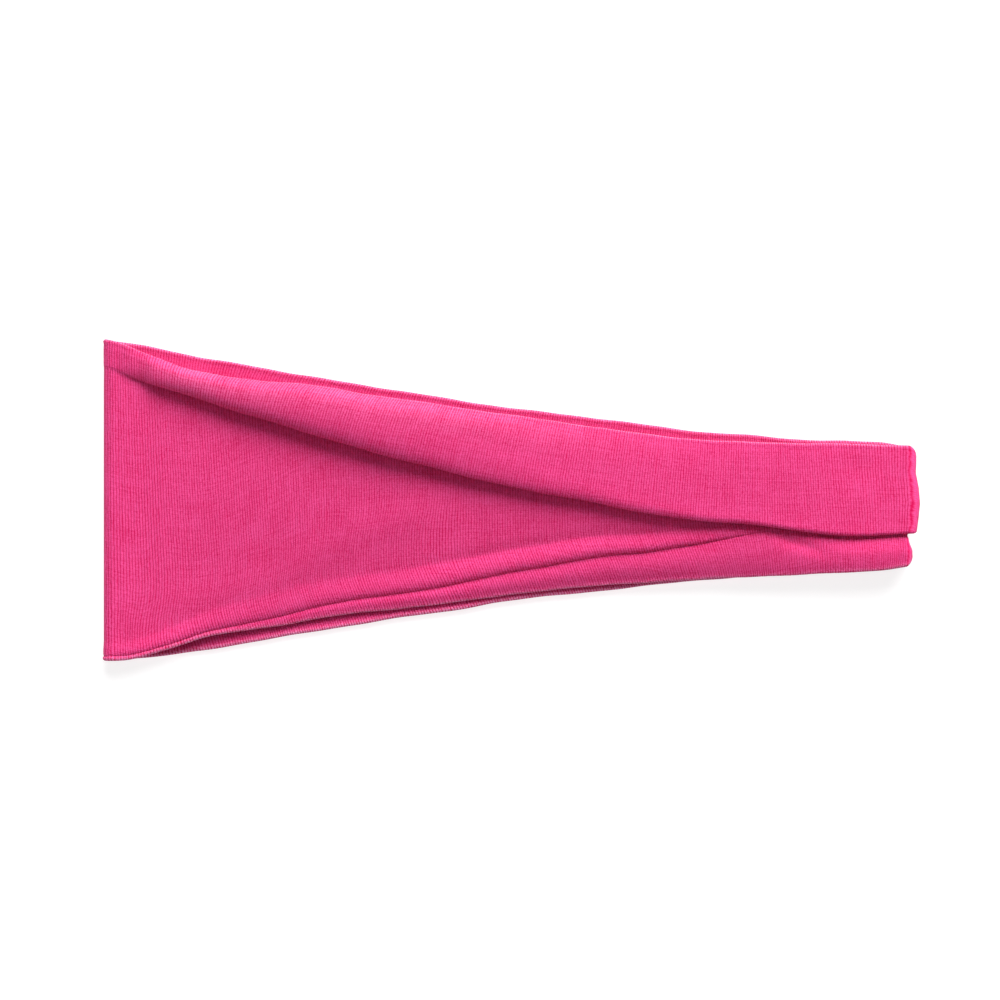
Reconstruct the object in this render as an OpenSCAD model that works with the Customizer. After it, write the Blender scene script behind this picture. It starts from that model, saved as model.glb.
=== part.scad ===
// Pleated jersey headband, lying flat: a two-ply strip of jersey closed into a loop at the back seam.
// +X runs from the front fold to the back seam, +Y to the upper edge, +Z up off the table.
// The origin is under the middle of the folded band, on the table.

/* [Band] */
// Length of the folded band, from the front fold to the back seam
band_length = 240; // [225:5:260]
// Width of the band at the front fold
front_width = 95; // [88:1:102]
// Width of the pleated end at the back seam
back_width = 35.5; // [33:0.5:38]
// Clear height of the loop between its upper and lower half
loop_gap = 5.4; // [5.2:0.2:7]

/* [Cloth] */
// Thickness of one ply of jersey
ply = 0.45; // [0.35:0.05:0.45]
// Air between the outer ply and the lining
ply_gap = 0.1; // [0.08:0.02:0.14]
// Height between neighbouring layers of the pleat, middle to middle
layer_pitch = 1.3; // [1.3:0.05:1.6]
// Height that the flap of the pleat swells above its layers
flap_puff = 3; // [1:0.25:4]

/* [Back seam] */
// Length of the cloth ends turned in at the back seam
seam_allowance = 4; // [3:0.5:6]
// Distance between neighbouring stitches
stitch_pitch = 2.5; // [2:0.25:3]
// Diameter of the sewing thread
thread = 0.3; // [0.2:0.05:0.35]

/* [Hidden] */

jersey_pink = [0.88, 0.24, 0.49];
lining_pink = [0.80, 0.20, 0.43];
thread_pink = [0.93, 0.36, 0.58];

// Shape of each edge: [share of the length from the front fold, share of the narrowing still to come]
upper_half_top = [
    [0, 1], [0.06, 0.86], [0.17, 0.65], [0.33, 0.47],
    [0.5, 0.29], [0.67, 0.11], [0.83, 0.03], [1, 0],
];
upper_half_bottom = [
    [0, 1], [0.06, 0.91], [0.17, 0.7], [0.33, 0.46],
    [0.5, 0.29], [0.67, 0.16], [0.83, 0.09], [1, 0],
];
lower_half_top = [
    [0, 1], [0.06, 0.94], [0.17, 0.79], [0.33, 0.57],
    [0.5, 0.37], [0.67, 0.21], [0.83, 0.07], [1, 0],
];
lower_half_bottom = [
    [0, 1], [0.06, 0.95], [0.17, 0.8], [0.33, 0.59],
    [0.5, 0.36], [0.67, 0.2], [0.83, 0.09], [1, 0],
];
// Width of the pleat's flap as a share of the band's width
flap_share = [
    [0, 0.08], [0.06, 0.1], [0.17, 0.13], [0.33, 0.26],
    [0.5, 0.4], [0.67, 0.53], [0.83, 0.65], [1, 0.73],
];
// Share of flap_puff along the band
puff_share = [[0, 0.05], [0.1, 0.6], [0.25, 1], [0.5, 0.9], [0.8, 0.45], [1, 0]];
// Degrees that the cloth turns at each fold of the pleat, from flat at the front fold to folded right over
fold_angle = [[0, 10], [0.025, 45], [0.06, 120], [0.1, 180], [1, 180]];

// The pleated end sits a little below the middle of the front
back_shift = -1.75;
// Distance from a cloth edge to the thread inside it, and to the flat cloth beyond it
thread_inset = 1.2;
edge_inset = 3;
// Least distance from the flap's upper edge to the hidden fold below it
hidden_margin = 1.5;
// Where the hidden layer of the pleat starts along the band, and the share over which it reaches full depth
pleat_start = 0.09;
pleat_growth = 0.1;
least_depth = 0.3;
// Share of the swelling that opens the fold of the flap, that crowns the flap, and that lifts its edge
puff_in_fold = 0.35;
puff_in_crown = 1.6;
puff_at_edge = 0.15;
// Places on the flap, as shares of the way from its fold to the flat cloth at its edge
flap_places = [1, 0.6, 0.28];
// Distance below the flap over which a single layer settles, and where it starts
settle_start = 1.5;
settle_width = 4;
// Share of its thickness that the cloth keeps near the seam, and inside it
end_squeeze = 0.75;
seam_squeeze = 0.6;
// Where that squeeze starts along the band
squeeze_start = 0.88;
// Drop of the upper half towards the front fold
front_drop = 2;
// Share of the length over which each end of the upper half comes down
end_share = 0.15;
// How far the single layer of the upper half moves out near the back seam
back_settle = 0.3;
// Inside turn of the cloth at each side of the back seam, to the middle of the inner layer
seam_turn_r = 0.7;
// Air between the two turned-in ends
seam_air = 0.1;
// Sag of the free edges of the upper half
edge_droop = 0.4;
// Swelling of each ply over the seam thread inside an edge
welt = 0.15;
// Clearance between thread and cloth
thread_air = 0.12;
// Distance of the closing stitches from the bottom of the groove between the two turned ends
groove_x = 1.6;
// Length of the overlock loops over the turned-in ends
overlock_reach = 1.5;
// Cloth beyond the first and last stitch of the back seam
stitch_margin = 3;

run_steps = 30;
fold_steps = 8;
turn_steps = 6;
// Steps round each fold of the pleat, and the last point of the section that they are part of
arc_steps = 3;
last_point = 14 + 2 * arc_steps;
// How much closer stations lie towards both ends of the band
end_spacing = 0.9;
// Length of a stitch as a share of stitch_pitch
stitch_share = 0.7;

half_layer = ply + ply_gap / 2;
stack = 2 * layer_pitch;
fold_r_small = layer_pitch / 2;
lower_end_z = end_squeeze * (half_layer + stack);
seam_base = seam_squeeze * (half_layer + stack) + seam_air / 2;
seam_z = lower_end_z + 2 * seam_turn_r + seam_base;
upper_end_z = seam_z + seam_base + 2 * seam_turn_r;
upper_z = half_layer + stack + half_layer + loop_gap + half_layer;
turn_x = band_length / 2 - seam_turn_r - end_squeeze * (half_layer + stack);
fold_r = (upper_z - front_drop - half_layer) / 2;
fold_x = -band_length / 2 + fold_r + half_layer;

function mix(a, b, s) = a + (b - a) * s;
function clip(s) = min(1, max(0, s));
function ease(s) = clip(s) * clip(s) * (3 - 2 * clip(s));
function clip_angle(a) = min(180, max(0, a));

// Smooth curve through [place, value] points
function span(points, t, i = 0) =
    i >= len(points) - 2 || t < points[i + 1][0] ? i : span(points, t, i + 1);
function slope(points, i) =
    let (a = points[max(0, i - 1)], b = points[min(len(points) - 1, i + 1)])
    (b[1] - a[1]) / (b[0] - a[0]);
function curve(points, t) =
    let (i = span(points, t), a = points[i], b = points[i + 1], d = b[0] - a[0], s = (t - a[0]) / d)
    a[1] * (1 + 2 * s) * (1 - s) * (1 - s)
    + b[1] * (3 - 2 * s) * s * s
    + d * slope(points, i) * s * (1 - s) * (1 - s)
    - d * slope(points, i + 1) * s * s * (1 - s);

// Edges of the upper half (side 1) and the lower half (side 0) at share t of the length
function top_y(t, side) =
    let (share = side * curve(upper_half_top, t) + (1 - side) * curve(lower_half_top, t))
    mix(back_width / 2 + back_shift, front_width / 2, share);
function bottom_y(t, side) =
    let (share = side * curve(upper_half_bottom, t) + (1 - side) * curve(lower_half_bottom, t))
    mix(-back_width / 2 + back_shift, -front_width / 2, share);
function flap_w(t, side) = curve(flap_share, t) * (top_y(t, side) - bottom_y(t, side));
function fold_y(t, side) = top_y(t, side) - flap_w(t, side);
function puff(t, side) = side * flap_puff * curve(puff_share, t);
function fold_turn(t) = clip_angle(curve(fold_angle, t));
function flap_fold_r(t, side) = fold_r_small + puff_in_fold * puff(t, side);
// Where the fold of the flap starts to turn
function turn_y(t, side) =
    let (turn = fold_turn(t))
    fold_y(t, side) + half_layer + flap_fold_r(t, side) * (turn > 90 ? 1 : sin(turn));
// Length of the hidden layer
function depth(t, side) =
    let (full = top_y(t, side) - hidden_margin - half_layer - fold_r_small - turn_y(t, side))
    mix(least_depth, max(full, least_depth), ease((t - pleat_start) / pleat_growth));
// Height of the flap's edge over the inner layer, and of the flap where its fold starts
function edge_h(t, side) =
    let (turn = fold_turn(t))
    layer_pitch * (1 - cos(turn)) + depth(t, side) * sin(turn);
function step_h(t, side) = edge_h(t, side) + puff_in_fold * puff(t, side) * (1 - cos(fold_turn(t)));

// A station is [x, z, direction of the outward normal, t, side, settle, squeeze].
// settle is how far a single layer moves out to lie level with the pleat's outermost layer.
function squeeze_at(t) = mix(1, end_squeeze, ease((t - squeeze_start) / (1 - squeeze_start)));
function near_seam(t) = ease((t - 1 + end_share) / end_share);
function share_at(x) = clip((x + band_length / 2) / band_length);
function upper_base_z(t) =
    upper_z - front_drop * (1 - ease(t / end_share)) + (upper_end_z - upper_z) * near_seam(t);
function lower_base_z(t) = squeeze_at(t) * (half_layer + step_h(t, 0));
function spaced(s) = mix(s, (1 - cos(180 * s)) / 2, end_spacing);

stations = concat(
    [[turn_x - seam_allowance, seam_z + seam_base, -90, 1, 1, 1, seam_squeeze]],
    [for (i = [0 : turn_steps - 1])
        let (s = i / turn_steps, turn = mix(-90, 90, s))
        [
            turn_x + seam_turn_r * cos(turn),
            upper_end_z - seam_turn_r + seam_turn_r * sin(turn),
            turn, 1, 1, mix(1, back_settle, s), mix(seam_squeeze, end_squeeze, ease(2 * s)),
        ]],
    [for (i = [0 : run_steps])
        let (
            x = mix(turn_x, fold_x, spaced(i / run_steps)),
            t = i == 0 ? 1 : i == run_steps ? 0 : share_at(x)
        )
        [x, upper_base_z(t), 90, t, 1, back_settle * near_seam(t), squeeze_at(t)]],
    [for (i = [1 : fold_steps - 1])
        let (turn = mix(90, 270, i / fold_steps))
        [
            fold_x + fold_r * cos(turn),
            half_layer + fold_r + fold_r * sin(turn),
            turn, 0, 1 - i / fold_steps, i / fold_steps, 1,
        ]],
    [for (i = [0 : run_steps])
        let (
            x = mix(fold_x, turn_x, spaced(i / run_steps)),
            t = i == 0 ? 0 : i == run_steps ? 1 : share_at(x)
        )
        [x, lower_base_z(t), 270, t, 0, 1, squeeze_at(t)]],
    [for (i = [1 : turn_steps])
        let (s = i / turn_steps, turn = mix(270, 450, s))
        [
            turn_x + seam_turn_r * cos(turn),
            lower_end_z + seam_turn_r + seam_turn_r * sin(turn),
            turn, 1, 0, 1, mix(end_squeeze, seam_squeeze, ease(2 * s - 1)),
        ]],
    [[turn_x - seam_allowance, seam_z - seam_base, 450, 1, 0, 1, seam_squeeze]]
);

// Middle of the cloth [y, height over the inner layer] across the folded band, from its upper edge to its
// lower one: the flap, its fold, the hidden layer, the hidden fold and the single layer.
function section(t, side) =
    let (
        top = top_y(t, side),
        bottom = bottom_y(t, side),
        turn = fold_turn(t),
        r = flap_fold_r(t, side),
        start = turn_y(t, side),
        step = step_h(t, side),
        edge = edge_h(t, side),
        first = [start - r * sin(turn), step - r * (1 - cos(turn))],
        second = first - depth(t, side) * [cos(turn), sin(turn)],
        third = second + fold_r_small * [-sin(turn), cos(turn) - 1],
        settled_from = fold_y(t, side) - settle_start,
        settled_to = settled_from - settle_width,
        droop = side * edge_droop,
        lift = (1 - side) * welt
    )
    concat(
        [
            [top, edge - droop - lift],
            [top - thread_inset, edge + puff_at_edge * puff(t, side) - droop / 2 - lift],
        ],
        [for (place = flap_places)
            let (s = place * (top - edge_inset - start) / (top - start))
            [mix(start, top, s), mix(step, edge, s * s) + puff_in_crown * puff(t, side) * s * (1 - s)]],
        [for (i = [0 : arc_steps])
            let (a = turn * i / arc_steps)
            [start - r * sin(a), step - r * (1 - cos(a))]],
        [(first + second) / 2],
        [for (i = [arc_steps : -1 : 0])
            let (a = turn * i / arc_steps)
            second + fold_r_small * [sin(a) - sin(turn), cos(turn) - cos(a)]],
        [
            [mix(third[0], settled_from, 0.5), 0],
            [settled_from, 0],
            [settled_to, 0],
            [mix(settled_to, bottom + edge_inset, 0.5), 0],
            [bottom + edge_inset, 0],
            [bottom + thread_inset, -droop / 2 - lift],
            [bottom, -droop - lift],
        ]
    );

// Share of the pleat's height that the cloth still has at a distance past its fold, from 1 down to 0
function in_pleat(distance) = clip((distance + settle_start + settle_width) / settle_width);

// Single layers move out towards the level of the pleat's outermost layer
function settled(station) =
    let (t = station[3], side = station[4], rise = edge_h(t, side))
    [for (point = section(t, side))
        let (out = station[5] * rise * (1 - in_pleat(point[0] - fold_y(t, side))))
        [point[0], station[6] * (point[1] + out)]];

function unit(v) = v / norm(v);
function normal_at(points, i) =
    let (
        last = len(points) - 1,
        before = unit(points[max(1, i)] - points[max(1, i) - 1]),
        after = unit(points[min(last, i + 1)] - points[min(last, i + 1) - 1]),
        d = unit(before + after)
    )
    [d[1], -d[0]];

// The plies part a little around the thread inside each edge
function welt_at(i) = i == 1 || i == last_point - 1 ? welt : 0;

// Section moved off the middle of the cloth by a distance, and set up at its station
function placed(station, point) =
    [
        station[0] + point[1] * cos(station[2]),
        point[0],
        station[1] + point[1] * sin(station[2]),
    ];
function moved(station, middle, first, last, off) =
    [for (i = [first : last])
        let (distance = off + sign(off) * welt_at(i))
        placed(station, middle[i] + station[6] * distance * normal_at(middle, i))];

// Closed ring of a ply, between two distances off the middle
function ply_ring(station, inside, outside) =
    let (
        middle = settled(station),
        inner = moved(station, middle, 0, last_point, inside)
    )
    concat(
        moved(station, middle, 0, last_point, outside),
        [for (i = [last_point : -1 : 0]) inner[i]]
    );

// Closed ring of the thread that lies between the plies at an edge's welt
function thread_ring(station, first) =
    let (
        middle = settled(station),
        n = station[6] * welt * normal_at(middle, first + 1)
    )
    [
        placed(station, middle[first]),
        placed(station, middle[first + 1] + n),
        placed(station, middle[first + 2]),
        placed(station, middle[first + 1] - n),
    ];

// Solid through rings of equal length, one at each station
module loft(rings) {
    count = len(rings[0]);
    last = len(rings) - 1;
    sides = [for (i = [0 : last - 1], j = [0 : count - 1], k = [0, 1])
        let (a = i * count + j, b = i * count + (j + 1) % count, c = a + count, d = b + count)
        2 * j < count ? (k == 0 ? [a, b, d] : [a, d, c]) : (k == 0 ? [a, b, c] : [b, d, c])];
    front = [for (j = [count - 1 : -1 : 0]) j];
    back = [for (j = [0 : count - 1]) last * count + j];
    polyhedron([for (r = rings) each r], concat(sides, [front, back]), convexity = 12);
}

module outer_panel() {
    color(jersey_pink)
        loft([for (station = stations) ply_ring(station, ply_gap / 2, half_layer)]);
}

module lining_panel() {
    color(lining_pink)
        loft([for (station = stations) ply_ring(station, -half_layer, -ply_gap / 2)]);
}

module edge_seam(first) {
    color(thread_pink)
        loft([for (station = stations) thread_ring(station, first)]);
}

module upper_edge_seam() {
    edge_seam(0);
}

module lower_edge_seam() {
    edge_seam(last_point - 2);
}

seam_low = bottom_y(1, 1) + stitch_margin;
seam_high = top_y(1, 1) - stitch_margin;
seam_fold = fold_y(1, 1);

// Row of stitches in the groove between the two turned-in ends
module back_seam() {
    color(thread_pink)
        for (y = [seam_low : stitch_pitch : seam_high - stitch_pitch / 2])
            translate([turn_x + groove_x, y, seam_z])
                rotate([-90, 0, 0])
                    cylinder(d = thread, h = stitch_share * stitch_pitch, $fn = 24);
}

// Half the height of the turned-in ends at y: one layer below the pleat, three in it
function ends_half(y) =
    seam_air / 2 + seam_squeeze * (2 * half_layer + stack * in_pleat(y - seam_fold));

module overlock_loop(half) {
    rotate([90, 0, 0])
        linear_extrude(thread, center = true)
            difference() {
                translate([-thread, -half - thread])
                    square([overlock_reach + thread, 2 * half + 2 * thread]);
                translate([0, -half])
                    square([overlock_reach + 1, 2 * half]);
            }
}

// Overlock thread round the raw ends of the cloth, inside the loop
module back_overlock() {
    color(thread_pink)
        translate([turn_x - seam_allowance - thread_air, 0, seam_z]) {
            for (y = [seam_low : stitch_pitch : seam_high])
                translate([0, y, 0])
                    overlock_loop(ends_half(y) + thread_air);
            translate([-thread / 2, seam_low, 0])
                rotate([-90, 0, 0])
                    cylinder(d = 1.2 * thread, h = seam_high - seam_low, $fn = 24);
        }
}

outer_panel();
lining_panel();
upper_edge_seam();
lower_edge_seam();
back_seam();
back_overlock();
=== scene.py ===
import math
from collections import namedtuple

import bpy
import numpy as np
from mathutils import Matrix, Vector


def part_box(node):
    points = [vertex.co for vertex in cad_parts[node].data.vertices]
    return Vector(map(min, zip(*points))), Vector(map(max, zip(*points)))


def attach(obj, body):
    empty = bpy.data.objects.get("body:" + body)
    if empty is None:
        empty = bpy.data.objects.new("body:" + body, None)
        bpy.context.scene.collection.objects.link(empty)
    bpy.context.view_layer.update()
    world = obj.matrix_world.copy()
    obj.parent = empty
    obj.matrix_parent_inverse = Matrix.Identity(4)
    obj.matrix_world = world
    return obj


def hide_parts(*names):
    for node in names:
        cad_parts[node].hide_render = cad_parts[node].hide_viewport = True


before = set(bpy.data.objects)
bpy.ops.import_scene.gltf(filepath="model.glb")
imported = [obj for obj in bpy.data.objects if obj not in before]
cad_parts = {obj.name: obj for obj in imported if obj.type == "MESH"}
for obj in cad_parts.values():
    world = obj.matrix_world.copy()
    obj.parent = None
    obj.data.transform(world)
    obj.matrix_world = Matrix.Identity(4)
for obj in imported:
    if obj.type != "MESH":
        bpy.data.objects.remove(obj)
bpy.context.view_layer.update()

# A pleated jersey headband lying flat. Shapes are worked out in millimetres and made in metres.
MM = 0.001

# ---------------------------------------------------------------- sizes, from the CAD model where it has them
# Thickness of a ply, the gap between the two plies and the pitch of the pleat's layers
PLY = 0.45
PLY_GAP = 0.1
LAYER_PITCH = 1.3
# Gap between the halves of the loop, and how much lower the upper half lies at the front fold
LOOP_GAP = 5.4
FRONT_DROP = 2.0
# Share of the length over which the upper half comes down at each end
END_SHARE = 0.15
# How far the layers are pressed together at the back end and in the seam, and the share where that starts
END_SQUEEZE = 0.75
SEAM_SQUEEZE = 0.6
SQUEEZE_START = 0.88
# The turned-in ends: radius of the turn, gap between the two ends and length of the turned-in cloth
SEAM_TURN_R = 0.7
SEAM_AIR = 0.1
SEAM_ALLOWANCE = 4.0
# How far the upper half's lobe stands out at the back end, as a share of the pleat's height
BACK_SETTLE = 0.3
# Width of the flap's drooping edge, and its droop
EDGE_INSET = 3.0
EDGE_DROOP = 0.4
# The pleat: how far its hidden fold stays from the upper edge, the share where it begins, the share over
# which it deepens, and its least depth
HIDDEN_MARGIN = 1.5
PLEAT_START = 0.09
PLEAT_GROWTH = 0.1
LEAST_DEPTH = 0.3
# Where the single layer moves out to the flap's level beyond its fold, and the width that it takes
SETTLE_START = 1.5
SETTLE_WIDTH = 4.0
# The lower half's pleat is shallower in the middle, where its hidden fold would show past the flap
LOWER_MARGIN = 7.0
# Places where the unevenness of the edges fades out, as shares of the length from the front and from the back
FRONT_FADE = 0.1
BACK_FADE = 0.08

HALF_LAYER = PLY + PLY_GAP / 2
FOLD_R = LAYER_PITCH / 2
STACK = 2 * LAYER_PITCH
# Bend at the foot of the pleat where it is still shallow
SOFT_BEND = 4.0
# Smallest bend of the cloth's middle that leaves its inner face without a crease
LEAST_BEND = 0.62
# Widest bend of the flap's fold, as a share of the flap's width
WIDEST_BEND = 0.55
# Rows of the knit: one wale runs across the band, one course runs along it
WALE = 0.76
COURSE = 0.6


def corner(node, which, axis):
    """One coordinate of a CAD node's lowest (0) or highest (1) corner, in millimetres."""
    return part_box(node)[which][axis] / MM


BAND_LENGTH = 2 * corner("outer_panel", 1, 0)
# Heights of the edges in the view from above, at the front fold and at the back seam
FRONT_TOP = corner("upper_edge_seam", 1, 1)
FRONT_BOTTOM = corner("lower_edge_seam", 0, 1)
BACK_TOP = corner("upper_edge_seam", 0, 1) + EDGE_INSET
BACK_BOTTOM = corner("lower_edge_seam", 1, 1) - EDGE_INSET

# Heights at the back end: each half's cloth and the seam between the turned-in ends
LOWER_END_Z = END_SQUEEZE * (HALF_LAYER + STACK)
SEAM_BASE = SEAM_SQUEEZE * (HALF_LAYER + STACK) + SEAM_AIR / 2
SEAM_Z = LOWER_END_Z + 2 * SEAM_TURN_R + SEAM_BASE
UPPER_END_Z = SEAM_Z + SEAM_BASE + 2 * SEAM_TURN_R
# Height of the upper half, where the back end starts to turn, and the front fold's radius and place
UPPER_Z = 3 * HALF_LAYER + STACK + LOOP_GAP
TURN_X = BAND_LENGTH / 2 - SEAM_TURN_R - END_SQUEEZE * (HALF_LAYER + STACK)
FRONT_R = (UPPER_Z - FRONT_DROP - HALF_LAYER) / 2
FRONT_X = -BAND_LENGTH / 2 + HALF_LAYER
# Share of the length over which the share along the band is brought to 1 at the back seam
BACK_EASE = 0.02

# Curves along the band: [share of the length from the front fold, value]. An edge's value is 1 where it lies
# at its height at the front fold, and 0 where it lies at its height at the back seam
UPPER_HALF_TOP = [
    [0, 1], [.022, .955], [.046, .873], [.069, .8], [.106, .692], [.142, .637], [.182, .596], [.259, .543],
    [.338, .448], [.489, .286], [.584, .187], [.658, .108], [.752, .041], [.85, .022], [1, 0],
]
UPPER_HALF_BOTTOM = [
    [0, 1], [.03, .985], [.069, .896], [.128, .743], [.212, .629], [.288, .522], [.383, .429], [.436, .378],
    [.521, .277], [.604, .212], [.68, .163], [.763, .117], [.855, .075], [.94, .045], [1, 0],
]
LOWER_HALF_TOP = [
    [0, 1], [.055, .937], [.116, .835], [.178, .759], [.239, .673], [.362, .522], [.485, .375], [.609, .26],
    [.732, .138], [.793, .105], [.855, .065], [.93, .045], [.965, .035], [1, 0],
]
LOWER_HALF_BOTTOM = [
    [0, 1], [.055, .971], [.116, .899], [.239, .722], [.362, .55], [.424, .48], [.485, .384], [.609, .266],
    [.732, .155], [.855, .075], [.978, .005], [1, 0],
]
# Width of the flap as a share of the band's width
FLAP_SHARE = [
    [0, .085], [.046, .095], [.105, .092], [.142, .109], [.182, .138], [.259, .208], [.338, .263], [.489, .386],
    [.584, .462], [.669, .533], [.739, .585], [.818, .638], [.9, .713], [1, .733],
]
# Half the height of the flap's fold
FLAP_R = [
    [0, 2.5], [.03, 1.8], [.06, 2.2], [.12, 2.9], [.2, 3.4], [.3, 3.5], [.4, 3.1], [.5, 2.3], [.6, 1.6],
    [.7, 1.15], [.8, .8], [.89, .66], [1, .65],
]
# Height that the flap swells between its fold and its upper edge
FLAP_CROWN = [[0, .1], [.1, .5], [.3, 1], [.6, 1], [.85, .5], [1, .2]]
# Share of the fold's extra height that the flap keeps at its upper edge
FLAP_LIFT = 0.4
# Degrees that the cloth turns at the flap's fold
FOLD_ANGLE = [[0, 8], [.02, 28], [.05, 100], [.08, 180], [1, 180]]
# The two soft rolls below the flap: a shallow valley above the first and a crease between them, as shares of
# the way from the flap's fold to the lower edge, and the height of each roll
ROLL_VALLEY = [
    [0, .93], [.07, .92], [.16, .86], [.259, .79], [.313, .77], [.383, .716], [.443, .653], [.498, .577],
    [.556, .483], [.627, .347], [.669, .275], [.739, .09], [.77, .01], [1, .01],
]
ROLL_CREASE = [
    [0, .982], [.116, .977], [.172, .966], [.259, .93], [.338, .898], [.413, .865], [.485, .793], [.556, .715],
    [.621, .605], [.67, .528], [.716, .416], [.752, .319], [.798, .156], [.83, .04], [1, .04],
]
FIRST_ROLL = [
    [0, .3], [.04, .6], [.1, .9], [.34, 1.2], [.56, 1.4], [.67, 1.4], [.76, 1.1], [.83, .4], [.88, 0], [1, 0],
]
SECOND_ROLL = [[0, .1], [.07, .2], [.2, .5], [.34, .8], [.45, 1], [.7, 1.3], [.8, 1.6], [.95, 1.5], [1, 1]]
# Factor that brings the top of the first roll's curve to 1
ROLL_PEAK = 3.08
# The second roll's curve is a sine to this power, beside the first roll and beyond the first roll's end
ROLL_POWER = (1.2, 0.5)
# Depth and width of the valley above the first roll
VALLEY_DEPTH = 0.35
VALLEY_WIDTH = 2.0
# How far the upper half sags towards its lower edge, and how far the lower half curls down at its own
LOWER_SAG = [[0, 0], [.06, 2.6], [.15, 5.7], [.3, 6.7], [.6, 6.1], [.75, 4.3], [.88, 1.7], [1, 0]]
LOWER_CURL = [[0, 0], [.06, .5], [.15, 1.1], [.34, 1.2], [.45, 1.4], [.7, 1.3], [.9, .5], [1, 0]]
# How sharply the sag grows, how far past the inner fold it starts, and the width of the curl
SAG_POWER = 1.8
SAG_START = 3.0
CURL_WIDTH = 12.0
# Lean of the wales from the width of the band, in degrees, positive towards the back seam: at the flap's upper
# edge, at its fold, on the single layer and on the rolls
LEAN_FLAP_EDGE = [
    [0, 0], [.06, 5], [.16, 20], [.26, 26], [.36, 24], [.5, 16], [.69, 7], [.78, 2], [.88, -4], [1, 0],
]
LEAN_FLAP_FOLD = [[0, 0], [.06, 0], [.17, 8], [.36, 9], [.5, 8], [.69, 5], [.78, 1], [.88, -5], [1, 0]]
LEAN_SINGLE = [[0, 0], [.06, -2], [.15, -3], [.3, -1], [.5, 0], [.8, -2], [.92, -3], [1, 0]]
LEAN_ROLLS = [[0, 0], [.06, -7], [.17, -18], [.5, -20], [.75, -18], [.83, -8], [1, 0]]
# Half the width of the zone where the lean changes from the single layer's to the rolls'
LEAN_BLEND = 3.0
# Unevenness of the back end, seen from above: [distance from the lower edge, how far the cloth reaches out]
BACK_WAVE = [
    [0, -1.6], [2, -1.1], [5, -.9], [8, -1], [9.4, -1.3], [10.2, -.4], [14, .1], [18.5, .5], [23, .1],
    [27.5, -.8], [32, -.5], [35.5, -.6],
]
# Share of the length where that unevenness starts
BACK_WAVE_START = 0.93
# How far the corners of the back end are rounded off, at the upper edge and the lower one
TOP_CORNER = 3.0
LOW_CORNER = 2.2
# Unevenness of the edges and of the flap's fold: (length, height) of each wave
TOP_WAVES = [(31, .1), (13, .05)]
BOTTOM_WAVES = [(37, .1), (15, .05)]
FOLD_WAVES = [(43, .15), (23, .1)]
# A soft diagonal swell in the single layer: points [x, y], height, width and how far it leans the wales
SWELL = [[-108, -34], [-68, -24], [-44, -9], [-9, 0]]
SWELL_HEIGHT = 0.45
SWELL_WIDTH = 5.5
SWELL_LEAN = 12.0
# Soft oval hollows, one in the lobe and one in the flap: centre, cosine and sine of the lean, sizes and depth
Hollow = namedtuple("Hollow", "x y cos sin length width depth")
LOBE_HOLLOW = Hollow(84, -12.5, .94, .34, 8, 1.7, .9)
FLAP_HOLLOW = Hollow(103, 9, 1, 0, 7, 5, .45)


# ---------------------------------------------------------------- curves
def hermite(points, t):
    """Smooth curve through [place, value] points, at the places t."""
    p = np.array(points, float)
    t = np.atleast_1d(np.asarray(t, float))
    low = np.r_[p[0:1], p[:-1]]
    high = np.r_[p[1:], p[-1:]]
    slope = (high[:, 1] - low[:, 1]) / (high[:, 0] - low[:, 0])
    i = np.clip(np.searchsorted(p[:, 0], t, side="right") - 1, 0, len(p) - 2)
    d = p[i + 1, 0] - p[i, 0]
    s = np.clip((t - p[i, 0]) / d, 0, 1)
    return (
        p[i, 1] * (1 + 2 * s) * (1 - s) ** 2
        + p[i + 1, 1] * (3 - 2 * s) * s * s
        + d * slope[i] * s * (1 - s) ** 2
        - d * slope[i + 1] * s * s * (1 - s)
    )


def at(points, t):
    """The curve's value at one place."""
    return float(hermite(points, t)[0])


def mix(a, b, s):
    """From a to b by the share s."""
    return a + (b - a) * s


def ease(s):
    """0 below 0, 1 above 1, and smooth between."""
    s = np.clip(s, 0, 1)
    return s * s * (3 - 2 * s)


def ripple(x, seed, waves):
    """Smooth unevenness along x: the sum of sines of random phase, one for each (length, height)."""
    random = np.random.default_rng(seed)
    return sum(h * np.sin(2 * math.pi * (x / length + random.random())) for length, h in waves)


def line_distance(x, y, points):
    """Distance to a polyline, and the share of the way along it."""
    p = np.array(points, float)
    best = np.full(np.shape(y), 1e9)
    share = np.zeros(np.shape(y))
    for i in range(len(p) - 1):
        d = p[i + 1] - p[i]
        s = np.clip(((x - p[i, 0]) * d[0] + (y - p[i, 1]) * d[1]) / (d @ d), 0, 1)
        gap = np.hypot(x - p[i, 0] - s * d[0], y - p[i, 1] - s * d[1])
        share = np.where(gap < best, (i + s) / (len(p) - 1), share)
        best = np.minimum(best, gap)
    return best, share


# ---------------------------------------------------------------- the folded section
# Places across the band: its edges, the flap's fold, the valley and the crease
Marks = namedtuple("Marks", "top bottom fold valley crease")
# The pleat: turn of its folds, height radius and sideways radius of the flap's fold, depth, radius of the
# inner fold, height of the flap over a plain fold and over its own, and the place where its fold starts
Pleat = namedtuple("Pleat", "turn r wide depth inner_r rise step start")

# Points across the cloth, from the upper edge to the lower one
EDGE_COUNT = 9
FLAP_COUNT = 32
ROLL_COUNT = 20
HIDDEN_COUNT = 12
INNER_COUNT = 8
SINGLE_COUNT = 46
FIRST_COUNT = 26
SECOND_COUNT = 18
LAST_COUNT = 9
# The middle of the flap's fold, and the first point of the single layer
FOLD_ROW = EDGE_COUNT + FLAP_COUNT + ROLL_COUNT // 2
SINGLE_ROW = EDGE_COUNT + FLAP_COUNT + ROLL_COUNT + HIDDEN_COUNT + INNER_COUNT
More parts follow.
